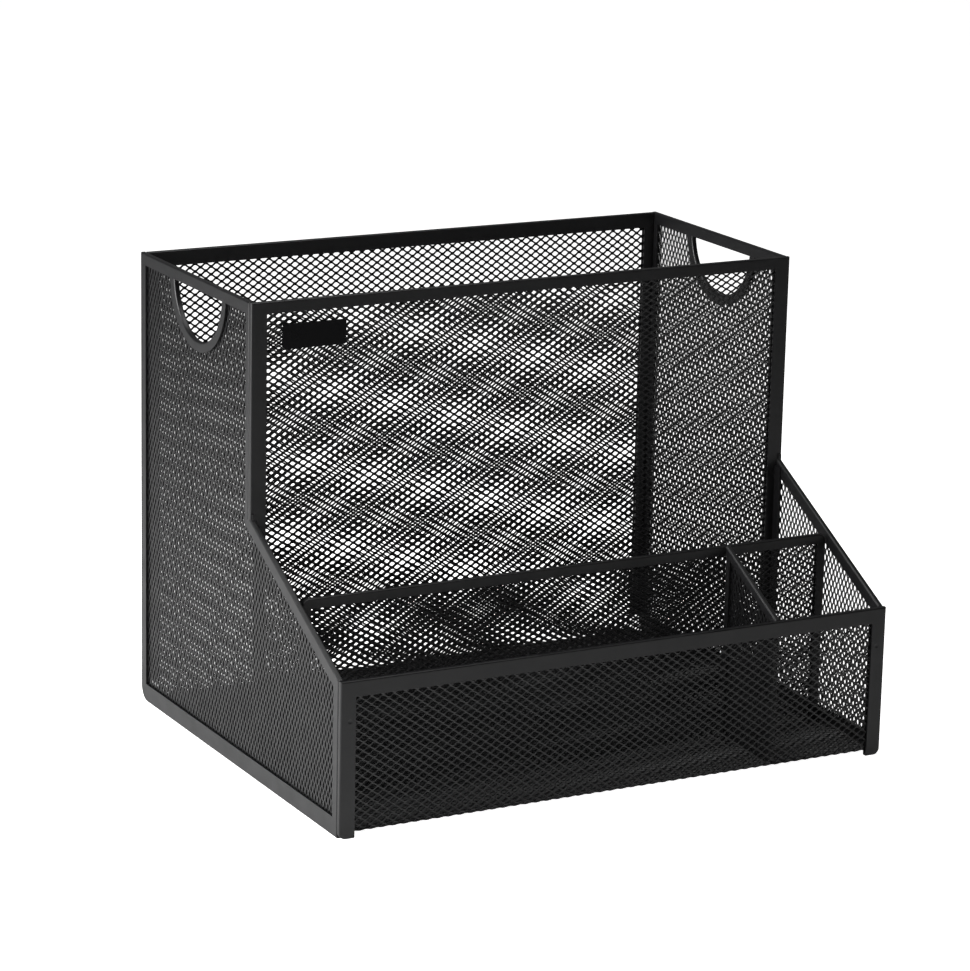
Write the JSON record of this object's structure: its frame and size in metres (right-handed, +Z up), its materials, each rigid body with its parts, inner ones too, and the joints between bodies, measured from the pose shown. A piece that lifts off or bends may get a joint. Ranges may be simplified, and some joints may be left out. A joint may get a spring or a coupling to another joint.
{
  "type": "desk organizer",
  "caption": "Steel mesh desk organizer: a tall back section with hand holes, sides sloping down to a low front, and upright compartments for files, mail and pens.",
  "frame": {"origin": "bottom centre of the organizer, on the desk it stands on", "axes": "+X to the right along the width, +Y towards the tall back, +Z up"},
  "size_m": [0.3086, 0.2414, 0.2413],
  "materials": {
    "frame": "black powder coat on folded sheet steel, satin",
    "mesh": "black powder coat on expanded steel mesh, satin",
    "plate": "black gloss plate, left blank"
  },
  "bodies": {
    "root": {"left_top_rim": "frame", "left_upper_front_channel": "frame", "left_slope_channel": "frame", "left_front_channel": "frame", "left_bottom_channel_1": "frame", "left_bottom_channel_2": "frame", "left_bottom_channel_3": "frame", "left_bottom_channel_4": "frame", "left_back_channel": "frame", "left_handle_ring": "frame", "right_top_rim": "frame", "right_upper_front_channel": "frame", "right_slope_channel": "frame", "right_front_channel": "frame", "right_bottom_channel_1": "frame", "right_bottom_channel_2": "frame", "right_bottom_channel_3": "frame", "right_bottom_channel_4": "frame", "right_back_channel": "frame", "right_handle_ring": "frame", "front_top_rim": "frame", "front_left_channel": "frame", "front_right_channel": "frame", "middle_top_rim": "frame", "middle_left_channel": "frame", "middle_right_channel": "frame", "back_top_rim": "frame", "back_left_channel": "frame", "back_right_channel": "frame", "low_divider_rim": "frame", "low_divider_left_channel": "frame", "low_divider_right_channel": "frame", "cross_divider_rim": "frame", "cross_divider_front_channel": "frame", "cross_divider_back_channel": "frame", "left_mesh": "mesh", "right_mesh": "mesh", "front_mesh": "mesh", "middle_mesh": "mesh", "back_mesh": "mesh", "low_divider_mesh": "mesh", "cross_divider_mesh": "mesh", "floor_mesh": "mesh", "blank_plate": "plate"}
  },
  "joints": []
}
